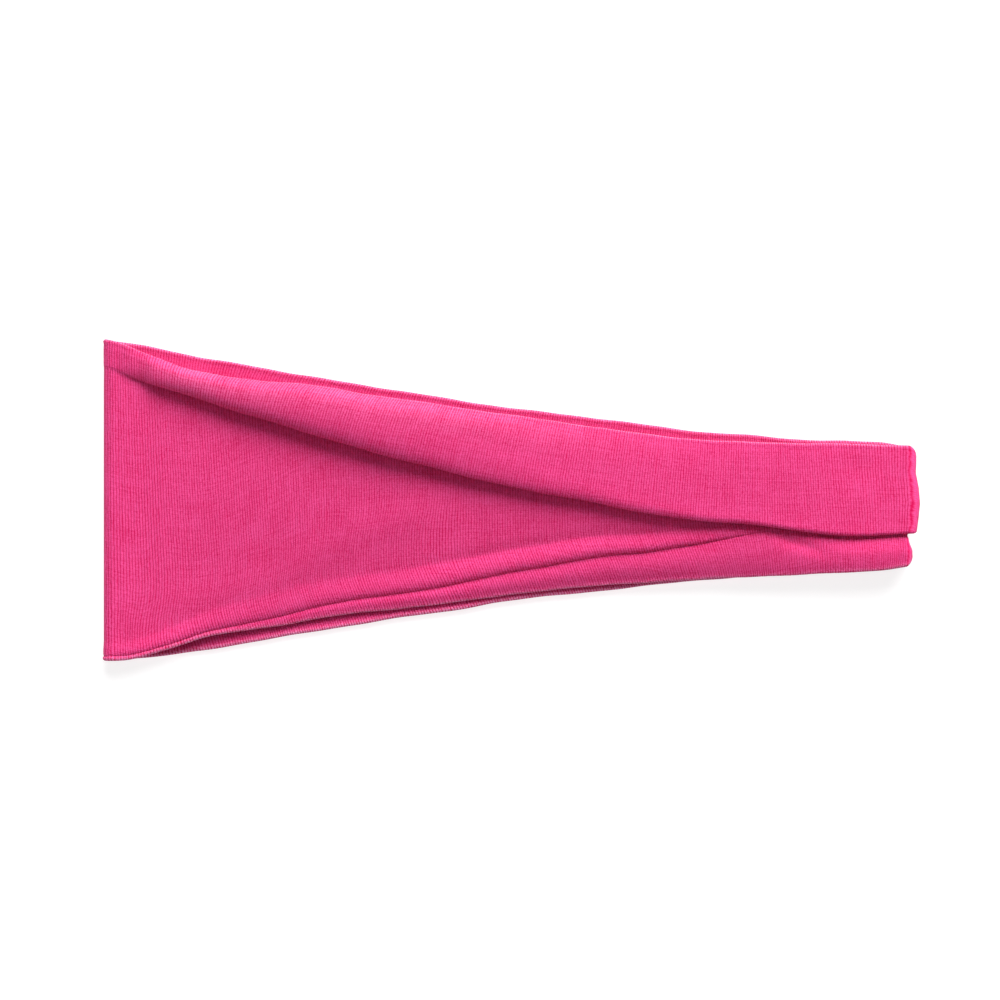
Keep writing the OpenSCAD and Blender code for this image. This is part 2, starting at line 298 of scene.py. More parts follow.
# Width of the finer points beside an edge, and how strongly they crowd towards it
RIM_REACH = 2.0
RIM_CROWDING = 2.2
# How strongly the first roll's points crowd towards the crease
ROLL_CROWDING = 1.7
# Least distance from the pleat's inner fold to the valley, and from the valley to the crease
VALLEY_GAP = 1.0
CREASE_GAP = 0.7


def edges(t, side, corner_cut):
    """Upper edge, lower edge and flap fold at share t, on the upper half (side 1) or the lower half (0)."""
    top_share = mix(at(LOWER_HALF_TOP, t), at(UPPER_HALF_TOP, t), side)
    bottom_share = mix(at(LOWER_HALF_BOTTOM, t), at(UPPER_HALF_BOTTOM, t), side)
    x = t * BAND_LENGTH
    free = float(ease(t / FRONT_FADE) * ease((1 - t) / BACK_FADE))
    top = mix(BACK_TOP, FRONT_TOP, top_share)
    bottom = mix(BACK_BOTTOM, FRONT_BOTTOM, bottom_share)
    fold = top - at(FLAP_SHARE, t) * (top - bottom)
    top += free * ripple(x, 11 + (side > 0.5), TOP_WAVES) - corner_cut * TOP_CORNER
    bottom += free * ripple(x, 21 + (side > 0.5), BOTTOM_WAVES) + corner_cut * LOW_CORNER
    fold += free * ripple(x, 31, FOLD_WAVES)
    return top, bottom, fold


def rim(length, count):
    """Distances from an edge, closer together near it."""
    return RIM_REACH * (np.linspace(0, 1, count) ** RIM_CROWDING) * min(1, length / (2 * RIM_REACH))


def pleat_at(t, side, top, fold):
    """The pleat at share t: turn and radii of its folds, depth, heights, and where the flap's fold starts."""
    turn = math.radians(min(180, max(0, at(FOLD_ANGLE, t))))
    r = mix(FOLD_R, at(FLAP_R, t), side)
    wide = min(max(r, r * r / LEAST_BEND), max(r, WIDEST_BEND * (top - fold)))
    opened = wide * (1 if turn > math.pi / 2 else math.sin(turn))
    start = fold + HALF_LAYER + opened
    margin = HIDDEN_MARGIN + (1 - side) * LOWER_MARGIN * float(ease((.97 - t) / .25))
    full = top - margin - HALF_LAYER - FOLD_R - fold - HALF_LAYER - r
    depth = mix(LEAST_DEPTH, max(full, LEAST_DEPTH), float(ease((t - PLEAT_START) / PLEAT_GROWTH)))
    inner_r = mix(SOFT_BEND, FOLD_R, float(ease((math.degrees(turn) - 20) / 80)))
    rise = (inner_r + FOLD_R) * (1 - math.cos(turn)) + depth * math.sin(turn)
    step = rise + (r - FOLD_R) * (1 - math.cos(turn))
    return Pleat(turn, r, wide, depth, inner_r, rise, step, start)


def flap_rows(t, side, top, pleat):
    """The flap, from its upper edge to the start of its fold."""
    near = rim(top - pleat.start, EDGE_COUNT)
    e = np.r_[near[:-1], np.linspace(near[-1], top - pleat.start, FLAP_COUNT + 1)]
    y = top - e
    s = (y - pleat.start) / (top - pleat.start)
    h = mix(pleat.step, mix(pleat.rise, pleat.step, FLAP_LIFT), s * s)
    h += side * at(FLAP_CROWN, t) * 4 * s * s * (1 - s)
    h -= side * EDGE_DROOP * (1 - np.clip(e / EDGE_INSET, 0, 1)) ** 2
    return np.c_[y, h]


def fold_rows(pleat):
    """Round the flap's fold, back along the hidden layer and round the inner fold."""
    a = np.linspace(0, pleat.turn, ROLL_COUNT + 1)[1:]
    reach = np.where(a < math.pi / 2, pleat.wide, pleat.r)
    shift = np.where(a < math.pi / 2, 0, pleat.r - pleat.wide) if pleat.turn > math.pi / 2 else 0
    roll = np.c_[pleat.start + shift - reach * np.sin(a), pleat.step - pleat.r * (1 - np.cos(a))]

    along = np.array([math.cos(pleat.turn), math.sin(pleat.turn)])
    places = np.linspace(0, 1, HIDDEN_COUNT + 1)[1:, None]
    hidden = roll[-1] - places * pleat.depth * along

    a = np.linspace(pleat.turn, 0, INNER_COUNT + 1)[1:]
    bend = np.c_[np.sin(a) - math.sin(pleat.turn), math.cos(pleat.turn) - np.cos(a)]
    return np.r_[roll, hidden, hidden[-1] + pleat.inner_r * bend]


def single_rows(t, side, marks, first_y):
    """The single layer below the pleat, as far as the lower edge."""
    e = rim(marks.crease - marks.bottom, LAST_COUNT)[::-1]
    closer = 1 - (1 - np.arange(1, FIRST_COUNT + 1) / FIRST_COUNT) ** ROLL_CROWDING
    y = np.r_[
        np.linspace(first_y, marks.valley, SINGLE_COUNT + 1)[1:],
        mix(marks.valley, marks.crease, closer),
        np.linspace(marks.crease, marks.bottom + e[0], SECOND_COUNT + 1)[1:-1],
        marks.bottom + e,
    ]
    start = first_y - SAG_START
    down = np.clip((start - y) / max(start - marks.bottom, 4), 0, 1)
    curl = (1 - np.clip((y - marks.bottom) / CURL_WIDTH, 0, 1)) ** 2
    h = -(1 - side) * at(LOWER_CURL, t) * curl - side * at(LOWER_SAG, t) * down ** SAG_POWER
    return np.c_[y, h]


def section(t, side, corner_cut):
    """Middle of the cloth, [y, height] from the upper edge to the lower one, its marks and its rise."""
    top, bottom, fold = edges(t, side, corner_cut)
    pleat = pleat_at(t, side, top, fold)
    folds = fold_rows(pleat)
    first_y = folds[-1][0]
    valley = min(fold - (fold - bottom) * at(ROLL_VALLEY, t), first_y - VALLEY_GAP)
    crease = min(fold - (fold - bottom) * at(ROLL_CREASE, t), valley - CREASE_GAP)
    marks = Marks(top, bottom, fold, valley, crease)
    rows = np.r_[flap_rows(t, side, top, pleat), folds, single_rows(t, side, marks, first_y)]
    return rows, marks, pleat.rise


def sink(x, y, hollow):
    """Depth of a soft oval hollow at x, y."""
    dx = x - hollow.x
    dy = y - hollow.y
    u = (dx * hollow.cos - dy * hollow.sin) / hollow.length
    v = (dx * hollow.sin + dy * hollow.cos) / hollow.width
    return hollow.depth * np.exp(-(u ** 2) - v ** 2)


def relief(x, t, y, marks):
    """Height of the rolls, the swell and the hollow of the upper half's single layer."""
    p = np.clip((marks.valley - y) / (marks.valley - marks.crease), 0, 1)
    h = at(FIRST_ROLL, t) * ROLL_PEAK * p ** 1.5 * (1 - p) ** 0.5
    q = np.clip((marks.crease - y) / (marks.crease - marks.bottom), 0, 1)
    h += at(SECOND_ROLL, t) * np.sin(math.pi * q) ** mix(*ROLL_POWER, float(ease((t - .66) / .14)))
    valley = float(ease((t - .3) / .2) * ease((.8 - t) / .1))
    h -= VALLEY_DEPTH * np.exp(-(((y - marks.valley) / VALLEY_WIDTH) ** 2)) * valley
    gap, share = line_distance(x, y, SWELL)
    h += SWELL_HEIGHT * np.exp(-((gap / SWELL_WIDTH) ** 2)) * ease(share / .15) * ease((1 - share) / .2)
    return h - sink(x, y, LOBE_HOLLOW)


def flap_relief(x, y, marks):
    """Height of the soft unevenness of the flap."""
    fade = ease((marks.top - y) / 2) * ease((y - marks.fold - 3) / 5)
    return -fade * sink(x, y, FLAP_HOLLOW)


# ---------------------------------------------------------------- the loop
# One place along the loop: where the cloth's middle is, the outward direction in degrees, the share of the
# length, the half (1 upper, 0 lower), how far the single layer moves out to the flap's level (1 is all the
# way), and how far the layers are pressed together
Station = namedtuple("Station", "x z turn t side settle squeeze")

# Steps along the loop: in the turned-in cloth, round a back end, along each half and round the front fold
ALLOWANCE_STEPS = 5
TURN_STEPS = 14
UPPER_STEPS = 280
LOWER_STEPS = 170
FOLD_STEPS = 30
# Finer steps that each step of the front fold is added up from
FINE_STEPS = 20
# How strongly the places along each half crowd towards its ends
END_CROWDING = 0.35


def squeeze_at(t):
    """How far the layers are pressed together along the halves."""
    return mix(1, END_SQUEEZE, float(ease((t - SQUEEZE_START) / (1 - SQUEEZE_START))))


def near_seam(t):
    """0 along the band, rising to 1 at the back seam."""
    return float(ease((t - 1 + END_SHARE) / END_SHARE))


def front_fold():
    """Rows x, z, direction in degrees, share, round the front fold, and the x where it starts."""
    s = np.linspace(0, 1, FINE_STEPS * FOLD_STEPS + 1)
    turn = np.radians(90 + 180 * ease(s))
    x = np.r_[0, np.cumsum((-np.sin(turn[1:]) - np.sin(turn[:-1])) / 2)]
    z = np.r_[0, np.cumsum((np.cos(turn[1:]) + np.cos(turn[:-1])) / 2)]
    scale = -2 * FRONT_R / z[-1]
    first = FRONT_X - scale * x.min()
    rows = []
    for i in range(FINE_STEPS, FINE_STEPS * FOLD_STEPS, FINE_STEPS):
        height = HALF_LAYER + 2 * FRONT_R + scale * z[i]
        rows.append((first + scale * x[i], height, math.degrees(turn[i]), s[i]))
    return rows, first


def share_at(x):
    """Share of the length at x: 0 at the front fold and brought smoothly to 1 at the back seam."""
    last = (TURN_X - FRONT_X) / BAND_LENGTH
    t = (x - FRONT_X) / BAND_LENGTH
    return min(1, t + (1 - last) * math.exp((t - last) / BACK_EASE))


def spaced(count):
    """Shares from 0 to 1, closer together at both ends."""
    s = np.arange(count + 1) / count
    return mix(s, (1 - np.cos(math.pi * s)) / 2, END_CROWDING).tolist()


def round_end(turn, middle_z):
    """Place x, z on the rounded back end in the direction turn, in degrees."""
    a = math.radians(turn)
    return TURN_X + SEAM_TURN_R * math.cos(a), middle_z + SEAM_TURN_R * math.sin(a)


def upper_stations(first):
    """From the upper half's raw end, round its back end and along it to the front fold."""
    rows = []
    for i in range(ALLOWANCE_STEPS):
        x = TURN_X - SEAM_ALLOWANCE * (1 - i / ALLOWANCE_STEPS)
        rows.append(Station(x, SEAM_Z + SEAM_BASE, -90, 1, 1, 1, SEAM_SQUEEZE))
    for i in range(TURN_STEPS):
        s = i / TURN_STEPS
        turn = mix(-90, 90, s)
        x, z = round_end(turn, UPPER_END_Z - SEAM_TURN_R)
        squeeze = mix(SEAM_SQUEEZE, END_SQUEEZE, float(ease(2 * s)))
        rows.append(Station(x, z, turn, 1, 1, mix(1, BACK_SETTLE, s), squeeze))
    for s in spaced(UPPER_STEPS):
        x = mix(TURN_X, first, s)
        t = share_at(x)
        z = UPPER_Z - FRONT_DROP * (1 - float(ease(t / END_SHARE))) + (UPPER_END_Z - UPPER_Z) * near_seam(t)
        rows.append(Station(x, z, 90, t, 1, BACK_SETTLE * near_seam(t), squeeze_at(t)))
    return rows


def lower_stations(first):
    """From the front fold along the lower half, round its back end and to its raw end."""
    rows = []
    for s in spaced(LOWER_STEPS):
        x = mix(first, TURN_X, s)
        t = share_at(x)
        rows.append(Station(x, None, 270, t, 0, 1, squeeze_at(t)))
    for i in range(1, TURN_STEPS + 1):
        s = i / TURN_STEPS
        turn = mix(270, 450, s)
        x, z = round_end(turn, LOWER_END_Z + SEAM_TURN_R)
        squeeze = mix(END_SQUEEZE, SEAM_SQUEEZE, float(ease(2 * s - 1)))
        rows.append(Station(x, z, turn, 1, 0, 1, squeeze))
    for i in range(1, ALLOWANCE_STEPS + 1):
        x = TURN_X - SEAM_ALLOWANCE * (i / ALLOWANCE_STEPS)
        rows.append(Station(x, SEAM_Z - SEAM_BASE, 450, 1, 0, 1, SEAM_SQUEEZE))
    return rows


def stations():
    """All stations, from one raw end round the loop to the other."""
    fold, first = front_fold()
    rows = upper_stations(first)
    for x, z, turn, s in fold:
        rows.append(Station(x, z, turn, share_at(x), float(1 - ease(s)), float(ease(s)), 1))
    return rows + lower_stations(first)


def corner_cut_at(turn):
    """Share of the corners' rounding: none along the halves, and all of it where the cloth is turned in."""
    if 90 <= turn <= 270:
        return 0.0
    facing = math.sin(math.radians(turn))
    return 1 - max(0, facing if turn < 180 else -facing)


def heights(place, rows, marks, rise):
    """Heights of a station's section, with the upper half's relief and the single layer moved out."""
    y = rows[:, 0]
    h = rows[:, 1].copy()
    upper = place.side * float(ease(place.turn / 90)) if place.turn <= 90 else place.side
    h[SINGLE_ROW:] += upper * relief(place.x, place.t, y[SINGLE_ROW:], marks)
    h[:FOLD_ROW] += upper * flap_relief(place.x, y[:FOLD_ROW], marks)
    inside = np.clip((y - marks.fold + SETTLE_START + SETTLE_WIDTH) / SETTLE_WIDTH, 0, 1)
    return h + place.settle * rise * (1 - ease(inside))


def base_height(place, rise):
    """Height of a station: the lower half rests on its pleat, and the front fold's lower part follows it."""
    if place.z is None:
        return place.squeeze * (HALF_LAYER + rise)
    if 180 < place.turn < 270:
        return place.z - rise * math.sin(math.radians(place.turn))
    return place.z


def wale_lean(place, y, across, marks):
    """Lean of the wales from the width of the band, in degrees, at each point of a station."""
    f = np.clip((across[FOLD_ROW] - across) / across[FOLD_ROW], 0, 1)
    lean = mix(at(LEAN_FLAP_FOLD, place.t), at(LEAN_FLAP_EDGE, place.t), f)
    down = ease((marks.valley + LEAN_BLEND - y) / (2 * LEAN_BLEND))
    single = mix(at(LEAN_SINGLE, place.t), at(LEAN_ROLLS, place.t), down)
    near, share = line_distance(place.x, y, SWELL)
    single = single + SWELL_LEAN * np.exp(-((near / SWELL_WIDTH) ** 2)) * ease((1 - share) / .2)
    lean[FOLD_ROW:] = 0
    lean[SINGLE_ROW:] = single[SINGLE_ROW:]
    return lean


def knit_places(place, rows, marks):
    """How far each point's wale has drifted along the band, and how far across the cloth the point is."""
    gap = np.r_[0, np.hypot(np.diff(rows[:, 0]), np.diff(rows[:, 1]))]
    across = np.cumsum(gap)
    drift = np.cumsum(np.tan(np.radians(wale_lean(place, rows[:, 0], across, marks))) * gap)
    return (drift[FOLD_ROW] - drift) * (2 * place.side - 1), across


def build_cloth():
    """Grid of the cloth's middle [station, place, xyz], its wale and course coordinates, and its squeeze."""
    grid, wales, courses, squeezes = [], [], [], []
    along = 0.0
    before = None
    for place in stations():
        rows, marks, rise = section(place.t, place.side, corner_cut_at(place.turn))
        y = rows[:, 0]
        h = heights(place, rows, marks, rise)
        z = base_height(place, rise)
        if before is not None:
            along += math.hypot(place.x - before[0], z - before[1])
        before = (place.x, z)
        a = math.radians(place.turn)
        fade = float(ease((place.t - BACK_WAVE_START) / (1 - BACK_WAVE_START)))
        wave = fade * np.interp(y - BACK_BOTTOM, *np.array(BACK_WAVE).T)
        px = place.x + place.squeeze * h * math.cos(a) + wave * (0.5 + 0.5 * math.cos(a))
        pz = z + place.squeeze * h * math.sin(a)
        grid.append(np.c_[px, y, pz])

        drift, across = knit_places(place, rows, marks)
        wales.append((along + drift) / WALE)
        courses.append(across / COURSE)
        squeezes.append(place.squeeze)
    return np.array(grid), np.array(wales), np.array(courses), np.array(squeezes)


def grid_normals(grid):
    """Unit normals of a grid of points, outward from the loop."""
    du = np.gradient(grid, axis=0)
    dv = np.gradient(grid, axis=1)
    n = np.cross(du, dv)
    length = np.linalg.norm(n, axis=2, keepdims=True)
    return n / np.maximum(length, 1e-9)


def edge_distances(grid):
    """Distance of each point from the upper edge and from the lower one, across the cloth."""
    step = np.linalg.norm(np.diff(grid, axis=1), axis=2)
    from_top = np.c_[np.zeros(len(grid)), np.cumsum(step, axis=1)]
    return from_top, from_top[:, -1:] - from_top


# Length of a stitch, the seam thread's distance from the edge, and the welt that the seam raises in each ply:
# its height, distance from the edge and width, and how much of it a stitch pulls down
STITCH = 2.5
THREAD_PLACE = 1.2
WELT = 0.28
WELT_PLACE = 0.75
WELT_WIDTH = 0.45
STITCH_PULL = 0.4
# Share of the welt's height at the inner face
INNER_WELT = 0.9


def face_offsets(grid, wales):
    """Distances of a ply's two faces from the middle: round at the edges, swollen over the seam."""
    top, bottom = edge_distances(grid)
    nearest = np.minimum(top, bottom)
    inside = np.clip(nearest / HALF_LAYER, 0, 1)
    stitch = 0.5 + 0.5 * np.cos(2 * math.pi * wales * WALE / STITCH)
    welt = WELT * np.exp(-(((nearest - WELT_PLACE) / WELT_WIDTH) ** 2)) * (1 - STITCH_PULL * stitch)
    least = PLY_GAP / 4
    face = least + (HALF_LAYER - least) * np.sqrt(1 - (1 - inside) ** 2) + welt
    back = least + least * inside + INNER_WELT * welt
    return face, back


# ---------------------------------------------------------------- meshes
# A thread's radius at its two closed ends, as a share of its own
THREAD_TAPER = 0.6
# The middle of the cloth, its outward normals, the knit's coordinates, the squeeze and the paler tone (fluff
# and painted highlight)
Cloth = namedtuple("Cloth", "grid normals wales courses squeezes pale")

# The paler tone, paler fluff with painted highlight at the edges and painted highlight on the flap: its share
# and width at the upper edge, at the lower edge and on the flap
TOP_TONE = (0.75, 0.5)
BOTTOM_TONE = (0.95, 0.9)
FLAP_HIGHLIGHT = (0.25, 8.0)


def tone(distance, share, width):
    """Share of the paler tone at a distance from an edge."""
    return share * np.exp(-((distance / width) ** 2))


def paleness(grid):
    """Share of the paler tone: paler fluff with painted highlight on the raised edges, and painted highlight
    along the flap's upper edge.
    """
    top, bottom = edge_distances(grid)
    # Paler fluff on both edges, with painted highlight where the edges catch the light
    rim_fluff_and_highlight = np.maximum(tone(top, *TOP_TONE), tone(bottom, *BOTTOM_TONE))
    t = (grid[:, :1, 0] + BAND_LENGTH / 2) / BAND_LENGTH
    # Painted highlight along the flap's upper edge, on the raised flap only
    flap = tone(top, *FLAP_HIGHLIGHT) * ease((t - .02) / .1) * ease((.75 - t) / .4)
    upper = grid[:, :, 2] > UPPER_Z
    return np.clip(rim_fluff_and_highlight + flap * upper, 0, 1)


def make_object(name, points, faces, uvs, material):
    """Smooth mesh object from points in millimetres, with a UV for each point."""
    mesh = bpy.data.meshes.new(name)
    mesh.from_pydata((np.asarray(points) * MM).tolist(), [], faces)
    mesh.update()
    layer = mesh.uv_layers.new(name="cloth")
    index = np.zeros(len(mesh.loops), np.int32)
    mesh.loops.foreach_get("vertex_index", index)
    layer.data.foreach_set("uv", np.asarray(uvs, np.float32)[index].ravel())
    mesh.polygons.foreach_set("use_smooth", [True] * len(mesh.polygons))
    mesh.materials.append(material)
    obj = bpy.data.objects.new(name, mesh)
    bpy.context.scene.collection.objects.link(obj)
    return obj


def shell_faces(rows, columns):
    """Faces of a closed sheet: a grid facing out, one facing in, and the strips that join their rims."""
    i, j = np.meshgrid(np.arange(rows - 1), np.arange(columns - 1), indexing="ij")
    a = (i * columns + j).ravel()
    b, c, d = a + 1, a + columns + 1, a + columns
    n = rows * columns
    faces = np.r_[np.c_[a, d, c, b], np.c_[a + n, b + n, c + n, d + n]].tolist()
    for k in range(rows - 1):
        p, q = k * columns, (k + 1) * columns
        faces.append([p, p + n, q + n, q])
        p, q = p + columns - 1, q + columns - 1
        faces.append([p, q, q + n, p + n])
    for k in range(columns - 1):
        faces.append([k, k + 1, k + 1 + n, k + n])
        p = (rows - 1) * columns + k
        faces.append([p, p + n, p + 1 + n, p + 1])
    return faces


def ply_mesh(name, cloth, near, far, material):
    """Closed sheet between two distances off the cloth's middle, near and far, far facing out."""
    scale = cloth.squeezes[:, None, None]
    outside = cloth.grid + cloth.normals * far[:, :, None] * scale
    inside = cloth.grid + cloth.normals * near[:, :, None] * scale
    points = np.r_[outside.reshape(-1, 3), inside.reshape(-1, 3)]
    uv = np.stack([cloth.wales, cloth.courses], axis=2).reshape(-1, 2)
    obj = make_object(name, points, shell_faces(*cloth.grid.shape[:2]), np.r_[uv, uv], material)
    pale = obj.data.attributes.new("pale", "FLOAT", "POINT")
    pale.data.foreach_set("value", np.tile(cloth.pale.ravel(), 2))
    return obj


def tube_mesh(name, paths, radius, material, sides=8):
    """Round threads along several paths, each closed at both ends, as one mesh."""
    points, faces, uvs = [], [], []
    guide = np.array([0.3, 0.2, 1.0])
    for path in paths:
        path = np.asarray(path, float)
        tangent = np.gradient(path, axis=0)
        tangent /= np.linalg.norm(tangent, axis=1, keepdims=True)
        length = 0.0
        base = len(points)
        for k, p in enumerate(path):
            side = np.cross(tangent[k], guide)
            side /= np.linalg.norm(side)
            up = np.cross(side, tangent[k])
            length += np.linalg.norm(p - path[k - 1]) if k else 0
            end = THREAD_TAPER if k in (0, len(path) - 1) else 1.0
            for m in range(sides):
                a = 2 * math.pi * m / sides
                points.append(p + end * radius * (math.cos(a) * side + math.sin(a) * up))
                uvs.append((length, m / sides))
        for k in range(len(path) - 1):
            for m in range(sides):
                a, b = base + k * sides + m, base + k * sides + (m + 1) % sides
                faces.append([a, a + sides, b + sides, b])
        faces.append([base + m for m in range(sides)])
        last = base + (len(path) - 1) * sides
        faces.append([last + m for m in reversed(range(sides))])
    return make_object(name, points, faces, uvs, material)


# ---------------------------------------------------------------- materials
class Nodes:
    """Short names for making shader nodes."""

    def __init__(self, name):
        self.material = bpy.data.materials.new(name)
        self.material.use_nodes = True
        self.tree = self.material.node_tree
        self.shader = self.tree.nodes["Principled BSDF"]

    def new(self, kind, **settings):
        node = self.tree.nodes.new(kind)
        for key, value in settings.items():
            setattr(node, key, value)
        return node

    def link(self, a, b):
        self.tree.links.new(a, b)

    def feed(self, socket, value):
        if isinstance(value, (int, float, tuple)):
            socket.default_value = value
        else:
            self.link(value, socket)

    def math(self, operation, a, b=None, clamp=False):
        node = self.new("ShaderNodeMath", operation=operation, use_clamp=clamp)
        self.feed(node.inputs[0], a)
        if b is not None:
            self.feed(node.inputs[1], b)
        return node.outputs[0]

    def blend(self, share, a, b):
        node = self.new("ShaderNodeMix", data_type="RGBA")
        self.feed(node.inputs["Factor"], share)
        self.feed(node.inputs["A"], a)
        self.feed(node.inputs["B"], b)
        return node.outputs["Result"]

    def range(self, value, low, high, to_low, to_high):
        node = self.new("ShaderNodeMapRange")
        for socket, number in zip(node.inputs[1:5], (low, high, to_low, to_high)):
            socket.default_value = number
        self.feed(node.inputs[0], value)
        return node.outputs[0]

    def noise(self, vector, scale, detail=2.0, rough=0.5):
        node = self.new("ShaderNodeTexNoise")
        self.link(vector, node.inputs["Vector"])
        node.inputs["Scale"].default_value = scale
        node.inputs["Detail"].default_value = detail
        node.inputs["Roughness"].default_value = rough
        return node.outputs["Fac"]

    def stretched(self, vector, x, y):
        node = self.new("ShaderNodeMapping")
        self.link(vector, node.inputs["Vector"])
        node.inputs["Scale"].default_value = (x, y, 1)
        return node.outputs[0]

    def cloth_places(self):
        """The "cloth" UV map, and its two coordinates."""
        uv = self.new("ShaderNodeUVMap", uv_map="cloth").outputs[0]
        parts = self.new("ShaderNodeSeparateXYZ")
        self.link(uv, parts.inputs[0])
        return uv, parts.outputs[0], parts.outputs[1]

    def bump(self, height, depth):
        """Bump the surface by a height, scaled by a depth in millimetres."""
        node = self.new("ShaderNodeBump")
        node.inputs["Strength"].default_value = 1.0
        node.inputs["Distance"].default_value = depth * MM
        self.link(height, node.inputs["Height"])
        self.link(node.outputs[0], self.shader.inputs["Normal"])


def rgb(red, green, blue):
    """Linear colour of an sRGB one given from 0 to 255."""
    def linear(c):
        c /= 255
        return c / 12.92 if c <= 0.04045 else ((c + 0.055) / 1.055) ** 2.4
    return (linear(red), linear(green), linear(blue), 1.0)


# Colour of the paler tone: paler fluff, with painted highlight on the edges and on the flap
PALE_PINK = rgb(243, 158, 203)
# Depth of the knit's bump, in millimetres
KNIT_DEPTH = 0.2
# Uneven colour of the yarn: noise scale across the wales and across the courses, and strength
UNEVENNESS = [(.05, 1.1, .12), (1.1, .06, .11), (1.2, 1.1, .26), (.08, .07, .08), (4, 5, .2)]


def stitch_height(n, uv, wale_place, course_place):
    """Columns of V stitches: two slanting legs for each wale, split by a thin groove."""
    wobble = n.noise(n.stretched(uv, .5, .2), 1.0)
    wale = n.math("ADD", wale_place, n.range(wobble, 0, 1, -.3, .3))
    q = n.math("MULTIPLY", n.math("ABSOLUTE", n.math("SUBTRACT", n.math("FRACT", wale), 0.5)), 2.0)
    rib = n.math("SUBTRACT", 1.0, n.math("POWER", q, 1.8))
    split = n.range(q, 0, .25, .3, 0)
    phase = n.math("FRACT", n.math("SUBTRACT", course_place, n.math("MULTIPLY", q, 0.8)))
    off = n.math("SUBTRACT", n.math("MULTIPLY", phase, 2.0), 1.0)
    loop = n.math("SUBTRACT", 1.0, n.math("POWER", n.math("ABSOLUTE", off), 2.0))
    return n.math("MULTIPLY", n.math("SUBTRACT", rib, split), n.math("ADD", n.math("MULTIPLY", loop, .45), .55))


def jersey(name, ridge, groove):
    """Jersey knit: columns of V stitches, with uneven yarn, painted shade in the grooves, a paler tone of fluff
    and painted highlight, and a soft sheen.
    """
    n = Nodes(name)
    uv, wale_place, course_place = n.cloth_places()
    stitch = stitch_height(n, uv, wale_place, course_place)
    share = n.range(stitch, 0, .9, 0, 1)
    for x, y, amount in UNEVENNESS:
        uneven = n.noise(n.stretched(uv, x, y), 1.0)
        share = n.math("ADD", share, n.range(uneven, .3, .7, -amount, amount))
    share = n.math("ADD", share, 0.0, clamp=True)
    pale = n.new("ShaderNodeAttribute", attribute_name="pale").outputs["Fac"]
    # Groove colour where the stitch is low, painted shade in the knit's grooves; ridge colour where it is high,
    # mixed with the paler tone of fluff and painted highlight
    n.link(n.blend(share, groove, n.blend(pale, ridge, PALE_PINK)), n.shader.inputs["Base Color"])
    fibre = n.noise(n.stretched(uv, 5, 6), 1.0, 3, .6)
    n.link(n.range(fibre, .2, .8, .78, .95), n.shader.inputs["Roughness"])
    n.bump(n.math("ADD", stitch, n.math("MULTIPLY", fibre, .22)), KNIT_DEPTH)
    n.shader.inputs["Specular IOR Level"].default_value = 0.08
    n.shader.inputs["Sheen Weight"].default_value = 0.08
    n.shader.inputs["Sheen Roughness"].default_value = 0.3
    n.shader.inputs["Sheen Tint"].default_value = (1.0, 0.6, 0.8, 1)
    return n.material


def sewing_thread(name, light, dark):
    """Twisted thread: slanting strands along its length, with painted shade between the strands."""
    n = Nodes(name)
    along, around = n.cloth_places()[1:]
    turn = n.math("ADD", n.math("MULTIPLY", along, 2.5), n.math("MULTIPLY", around, 2.0))
    strand = n.math("ABSOLUTE", n.math("SINE", n.math("MULTIPLY", turn, math.pi)))
    # The dark colour between the strands is painted shade
    n.link(n.blend(strand, dark, light), n.shader.inputs["Base Color"])
    n.link(n.range(strand, 0, 1, .7, .5), n.shader.inputs["Roughness"])
    n.bump(strand, .06)
    n.shader.inputs["Sheen Weight"].default_value = 0.15
    return n.material


# ---------------------------------------------------------------- the pieces
grid, wales, courses, squeezes = build_cloth()
cloth = Cloth(grid, grid_normals(grid), wales, courses, squeezes, paleness(grid))
face, back = face_offsets(grid, wales)

# Knit colours: the ridge colour, then the groove colour, which is painted shade in the knit's grooves
outer_knit = jersey("outer_knit", rgb(247, 84, 154), rgb(212, 12, 82))
lining_knit = jersey("lining_knit", rgb(243, 82, 151), rgb(208, 11, 80))
# Thread colours: the strand colour, then the darker colour, which is painted shade between the strands
thread_pink = sewing_thread("thread_pink", rgb(244, 110, 160), rgb(206, 50, 108))

outer = ply_mesh("outer_panel_cloth", cloth, back, face, outer_knit)
lining = ply_mesh("lining_panel_cloth", cloth, -face, -back, lining_knit)

# Radii of the threads: inside the edges, in the back seam and round its raw edges
EDGE_THREAD_R = 0.11
THREAD_R = 0.15
OVERLOCK_R = 0.12


def edge_thread(name, distance, order):
    """Thread inside an edge, between the plies. Order -1 turns the points round, so they start at the edge."""
    path = []
    for places, points in zip(distance, grid):
        near = places[::order]
        path.append([np.interp(THREAD_PLACE, near, points[::order, axis]) for axis in range(3)])
    return tube_mesh(name, [path], EDGE_THREAD_R, thread_pink, sides=6)


from_top, from_bottom = edge_distances(grid)
upper_thread = edge_thread("upper_edge_thread", from_top, 1)
lower_thread = edge_thread("lower_edge_thread", from_bottom, -1)

# The back seam: stitches in the groove between the turned-in ends, and overlock loops round the raw edges.
# These are the heights, in the view from above, where the stitches start and stop
SEAM_LOW = BACK_BOTTOM + 3
SEAM_HIGH = BACK_TOP - 4
# How far beyond the turn's middle the stitches lie
GROOVE_X = 1.0
# Where the pleat's fold ends and the cloth covers the stitches
NOTCH = (-13.0, -8.0)
# Share of a stitch's length that is thread, and not the gap after it
STITCH_SHARE = 0.7
# How far the overlock loops reach over the cloth from its raw edges
LOOP_REACH = 1.5


